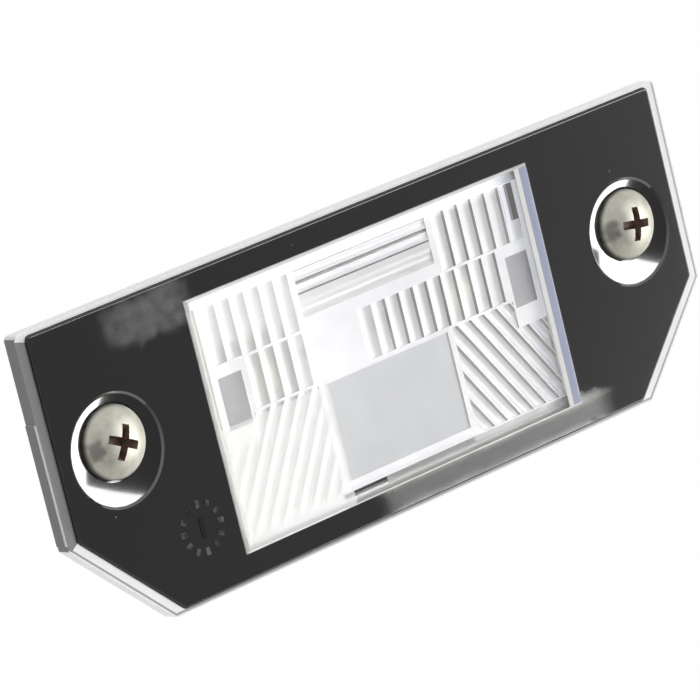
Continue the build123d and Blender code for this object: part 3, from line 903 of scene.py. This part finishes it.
def make_screw(side):
    """A pan head screw with a cross recess and a thread, in place of its plain solid."""
    node = "mounting_screw_" + side
    low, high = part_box(node)
    length = (high.y - low.y) / MM
    blank = new_object(node + "_blank", lathe(screw_profile(length), node + "_blank"), zinc, recess)
    wings = [recess_wing(RECESS_TURN[side] + quarter) for quarter in (0, 90)]
    for wing in wings:
        cut = blank.modifiers.new("recess", "BOOLEAN")
        cut.object = wing
        cut.solver = "EXACT"
        cut.material_mode = "TRANSFER"
    body = final_mesh(blank, node + "_body")
    for spare in (blank, *wings):
        bpy.data.objects.remove(spare)
    depth = CREST_RADIUS - CORE_RADIUS
    full = grown(
        winding, "thread", Turns=float(THREAD_TURNS), Radius=CORE_RADIUS * MM, End_Radius=CORE_RADIUS * MM,
        Length=THREAD_TURNS * THREAD_PITCH * MM, Wire=depth * MM, Sides=THREAD_SIDES, Finish=zinc,
    )
    fading = grown(
        winding, "thread_end", Turns=1.0, Radius=CORE_RADIUS * MM, End_Radius=TIP_RADIUS * MM,
        Length=TIP_LENGTH * MM, Wire=depth * MM, Sides=THREAD_SIDES, Finish=zinc,
    )
    along_y = Matrix.Rotation(math.radians(-90), 4, "X")
    full.transform(Matrix.Translation((0, thread_start(length) * MM, 0)) @ along_y)
    fading.transform(Matrix.Translation((0, (length - TIP_LENGTH) * MM, 0)) @ along_y)
    made = bmesh.new()
    for mesh in (body, full, fading):
        made.from_mesh(mesh)
    made.transform(Matrix.Translation(((low.x + high.x) / 2, low.y, (low.z + high.z) / 2)))
    mesh = bpy.data.meshes.new(node + "_skin")
    made.to_mesh(mesh)
    made.free()
    smooth_by_angle(mesh, SMOOTH_DEGREES)
    stand_for(new_object(node + "_skin", mesh, zinc, recess), "screw_zinc", node)


# Bulb's coil, in millimetres
COIL_WIRE = 0.07
COIL_PITCH = 0.22
COIL_SIDES = 8


def make_coil():
    """The wound filament, in place of its plain solid."""
    low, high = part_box("bulb_filament")
    length = high.x - low.x
    radius = (high.z - low.z) / 2 - COIL_WIRE * MM
    mesh = grown(
        winding, "coil", Turns=length / (COIL_PITCH * MM), Radius=radius, End_Radius=radius, Length=length,
        Wire=COIL_WIRE * MM, Sides=COIL_SIDES, Finish=tungsten,
    )
    middle = (low + high) / 2
    along_x = Matrix.Rotation(math.radians(90), 4, "Y")
    mesh.transform(Matrix.Translation((low.x, middle.y, middle.z)) @ along_x)
    smooth_by_angle(mesh, COIL_SMOOTH_DEGREES)
    stand_for(new_object("filament_coil", mesh), "tungsten", "bulb_filament")


# Mould dial on the black face, in millimetres
DIAL_PLACE = (-30.2, -9.4)
DIAL_TICKS = 12
DIAL_RADIUS = 2.6
DIAL_LINE = 0.55
DIAL_TICK_LENGTH = 0.8
DIAL_POINTER_LENGTH = 2.3
DIAL_PROUD = 0.05


def dial_tree():
    """Ticks in a circle."""
    tree, given = new_node_tree(
        "mould_dial", Ticks="Int", Radius="Float", Line="Float", Tick="Float", Height="Float",
        Finish="Material",
    )
    size = add(tree, "ShaderNodeCombineXYZ", {"X": given["Tick"], "Y": given["Line"], "Z": given["Height"]})
    tick = add(tree, "GeometryNodeMeshCube", {"Size": size.outputs[0]})
    circle = add(tree, "GeometryNodeMeshCircle", {"Vertices": given["Ticks"], "Radius": given["Radius"]})
    place = add(tree, "GeometryNodeInputPosition")
    aim = add(tree, "FunctionNodeAlignRotationToVector", {"Vector": place.outputs[0]}, axis="X")
    ticks = add(
        tree,
        "GeometryNodeInstanceOnPoints",
        {"Points": circle.outputs[0], "Instance": tick.outputs[0], "Rotation": aim.outputs[0]},
    )
    close_tree(tree, ticks.outputs[0], given["Finish"])
    return tree


def make_dial():
    """Ticks round a near-black bar of painted shade for the pointer slot, a hair proud of the face."""
    height = 2 * DIAL_PROUD
    ticks = grown(
        dial_tree(), "mould_dial", Ticks=DIAL_TICKS, Radius=DIAL_RADIUS * MM, Line=DIAL_LINE * MM,
        Tick=DIAL_TICK_LENGTH * MM, Height=height * MM, Finish=matt_black,
    )
    made = bmesh.new()
    made.from_mesh(ticks)
    pointer = bmesh.ops.create_cube(made, size=MM)["verts"]
    for vert in pointer:
        vert.co = vert.co * Vector((DIAL_LINE, DIAL_POINTER_LENGTH, height))
    # The pointer's faces take the painted shade of the slot
    slot_shade_faces = {face for vert in pointer for face in vert.link_faces}
    for face in made.faces:
        face.material_index = 1 if face in slot_shade_faces else 0
    made.transform(Matrix.Translation(on_plate(*DIAL_PLACE)) @ Matrix.Rotation(math.radians(90), 4, "X"))
    mesh = bpy.data.meshes.new("mould_dial")
    made.to_mesh(mesh)
    made.free()
    smooth_by_angle(mesh, SMOOTH_DEGREES)
    stand_for(new_object("mould_dial", mesh, matt_black, slot_shade_black), "face_black")


# How near a face has to be to a dish's ball, in millimetres, and to the lean of its wall
BALL_NEAR = 0.01
WALL_NEAR = 0.05


def even_dish_normals(mesh):
    """Even normals for the dishes' walls and balls, which have long triangles; the balls shade flatter."""
    normals = [corner.vector.copy() for corner in mesh.corner_normals]
    lean = math.atan(DISH_WALL / DISH_WALL_RUN)
    ahead = DISH_WALL - math.sqrt(BOWL_RADIUS**2 - BOWL_RIM**2)
    for x, z in DISH_PLACES:
        centre = Vector((x * MM, FACE_Y + ahead * MM, z * MM))
        for face in mesh.polygons:
            corners = [mesh.vertices[mesh.loops[loop].vertex_index].co for loop in face.loop_indices]
            near = (face.center - centre).xz.length < DISH_RADIUS * MM
            strays = [abs((corner - centre).length - BOWL_RADIUS * MM) for corner in corners]
            on_ball = max(strays) < BALL_NEAR * MM
            on_wall = abs(face.normal.y + math.cos(lean)) < WALL_NEAR
            if not near or not (on_ball or on_wall):
                continue
            for loop, corner in zip(face.loop_indices, corners):
                away = (corner - centre).xz
                tilt = math.asin(away.length / (BOWL_SHADE_RADIUS * MM)) if on_ball else lean
                away = away.normalized() * math.sin(tilt)
                normals[loop] = Vector((-away.x, -math.cos(tilt), -away.y))
    mesh.normals_split_custom_set(normals)


# Faces of the plate's rounded edge lean between these, and lie this far outside the dishes, in millimetres
ROUNDED = (-0.98, -0.1)
DISH_CLEARANCE = 0.1


def make_plate():
    """The black plate; its rounded outer edge is a little matt."""
    piece = dress("bezel", "face_black", gloss_black, smooth=PLATE_SMOOTH_DEGREES)
    piece.data.materials.append(edge_black)
    for face in piece.data.polygons:
        gaps = [(face.center - Vector((x * MM, face.center.y, z * MM))).length for x, z in DISH_PLACES]
        if ROUNDED[0] < face.normal.y < ROUNDED[1] and min(gaps) > (DISH_RADIUS + DISH_CLEARANCE) * MM:
            face.material_index = 1
    even_dish_normals(piece.data)


HOUSING_EDGE_ROUND = 0.15 * MM

make_lens()
make_plate()
make_dial()
make_coil()
for side in ("left", "right"):
    make_screw(side)
    dress("contact_spring_" + side, "contact_tinned", tin)
    dress("bulb_cap_" + side, "bulb_cap_nickel", nickel)
    dress("bulb_lead_" + side, "lead_wire", wire)
dress("bulb_glass", "bulb_glass", glass)
dress("reflector", "reflector_white", white_plastic)
dress("rear_housing", "housing_black", black_plastic, edge_round=HOUSING_EDGE_ROUND)
dress("lens_seal", "seal_rubber", rubber)
dress("mounting_gasket", "gasket_foam", foam)

# Floor, lamps and world
FLOOR_DROP = 60 * MM
FLOOR_SIZE = 6.0
FLOOR_FRONT = 60 * MM
FLOOR_GLOW = 0.98


def make_floor():
    """A white floor below and behind the lamp: it glows like the backdrop and still takes a soft shadow."""
    mesh = bpy.data.meshes.new("floor")
    half = FLOOR_SIZE / 2
    level = cad_box[0].z - FLOOR_DROP
    front = -FLOOR_FRONT
    mesh.from_pydata(
        [(-half, front, level), (half, front, level), (half, half, level), (-half, half, level)],
        [],
        [(0, 1, 2, 3)],
    )
    material, tree, shader, output = new_material("white_floor", Base_Color=linear("#ffffff"), Roughness=0.9)
    glow = add(tree, "ShaderNodeEmission", {"Color": WHITE, "Strength": 1.0})
    mix = add(tree, "ShaderNodeMixShader", {0: FLOOR_GLOW, 1: shader.outputs[0], 2: glow.outputs[0]})
    tree.links.new(mix.outputs[0], output.inputs["Surface"])
    floor = new_object("floor", mesh, material)


# Dark room in front of the lamp: where it lies, where its edge fades, and how bright it mirrors
ROOM = in_frame(0.35, -0.3, 0.88)
ROOM_EDGE = (0.35, 0.75)
ROOM_LEVEL = 0.175
# How strongly the white world lights what it meets
LIGHT_LEVEL = 0.385


def make_world():
    """White all round for what sees it, dimmer as a light, and darker towards the room in front."""
    world = bpy.data.worlds.new("studio")
    bpy.context.scene.world = world
    world.use_nodes = True
    tree = world.node_tree
    tree.nodes.clear()
    path = add(tree, "ShaderNodeLightPath")
    place = add(tree, "ShaderNodeTexCoord")
    facing = add(
        tree, "ShaderNodeVectorMath", {0: place.outputs["Generated"], 1: ROOM}, operation="DOT_PRODUCT"
    )
    dark = add(
        tree,
        "ShaderNodeMapRange",
        {
            "Value": facing.outputs["Value"],
            "From Min": ROOM_EDGE[0],
            "From Max": ROOM_EDGE[1],
            "To Min": 1.0,
            "To Max": ROOM_LEVEL,
        },
        interpolation_type="SMOOTHSTEP",
    )
    mirrored = add(
        tree,
        "ShaderNodeMath",
        {0: path.outputs["Is Glossy Ray"], 1: path.outputs["Is Transmission Ray"]},
        operation="MAXIMUM",
    )
    lit = add(
        tree,
        "ShaderNodeMix",
        {"Factor": mirrored.outputs[0], "A": LIGHT_LEVEL, "B": dark.outputs[0]},
        data_type="FLOAT",
    )
    seen = add(
        tree,
        "ShaderNodeMix",
        {"Factor": path.outputs["Is Camera Ray"], "A": lit.outputs[0], "B": 1.0},
        data_type="FLOAT",
    )
    back = add(tree, "ShaderNodeBackground", {"Color": WHITE, "Strength": seen.outputs[0]})
    add(tree, "ShaderNodeOutputWorld", {"Surface": back.outputs[0]})


# Softboxes, two mirrored in the dishes and one behind: directions, distance, width, height and radiance
SOFTBOXES = (
    ("right_softbox", (0.705, 0.055, 0.707), (0.672, -0.407, -0.619), 6.0, 3.04, 1.91, 9.0),
    ("low_softbox", (0.757, -0.355, 0.549), (-0.499, -0.859, 0.111), 6.0, 2.2, 2.32, 9.0),
    ("rear_softbox", (0.1, 0.85, -0.5), (1, 0, 0), 1.2, 0.8, 0.5, 5.5),
)


def make_softbox(name, towards, across, distance, width, height, radiance):
    """A softbox that faces the lamp; its two directions are along the face, up it and out of it."""
    data = bpy.data.lights.new(name, "AREA")
    data.shape = "RECTANGLE"
    data.size = width
    data.size_y = height
    data.energy = radiance * math.pi * width * height
    out = in_frame(*towards).normalized()
    across = in_frame(*across)
    wide = (across - out * across.dot(out)).normalized()
    softbox = bpy.data.objects.new(name, data)
    bpy.context.scene.collection.objects.link(softbox)
    softbox.location = on_plate(0, 0) + out * distance
    softbox.rotation_mode = "QUATERNION"
    softbox.rotation_quaternion = Matrix((wide, out.cross(wide), out)).transposed().to_quaternion()
    softbox.visible_camera = False


make_floor()
make_world()
for softbox in SOFTBOXES:
    make_softbox(*softbox)

# Camera, at the photograph's viewing angle
AIM = Vector((-5.066, -5.1, -0.779)) * MM
CAMERA_DISTANCE = 566.1 * MM
CAMERA_AZIMUTH = -38.762
CAMERA_ELEVATION = 11.645
CAMERA_ROLL = -13.905
CAMERA_LENS = 270.0
SENSOR = 36.0
CLIP_START = 10 * MM


def make_camera():
    """The camera, rolled as the photograph is."""
    azimuth = math.radians(CAMERA_AZIMUTH)
    elevation = math.radians(CAMERA_ELEVATION)
    back = Vector((
        math.sin(azimuth) * math.cos(elevation),
        -math.cos(azimuth) * math.cos(elevation),
        math.sin(elevation),
    ))
    data = bpy.data.cameras.new("camera")
    data.lens = CAMERA_LENS
    data.sensor_width = SENSOR
    data.clip_start = CLIP_START
    camera = bpy.data.objects.new("camera", data)
    bpy.context.scene.collection.objects.link(camera)
    camera.location = AIM + back * CAMERA_DISTANCE
    camera.rotation_mode = "QUATERNION"
    level = (-back).to_track_quat("-Z", "Y")
    camera.rotation_quaternion = level @ Quaternion((0, 0, 1), math.radians(CAMERA_ROLL))
    bpy.context.scene.camera = camera


make_camera()
bpy.context.scene.view_settings.view_transform = "Standard"
bpy.context.scene.cycles.max_bounces = 16
bpy.context.scene.cycles.diffuse_bounces = 6
bpy.context.scene.cycles.transmission_bounces = 16
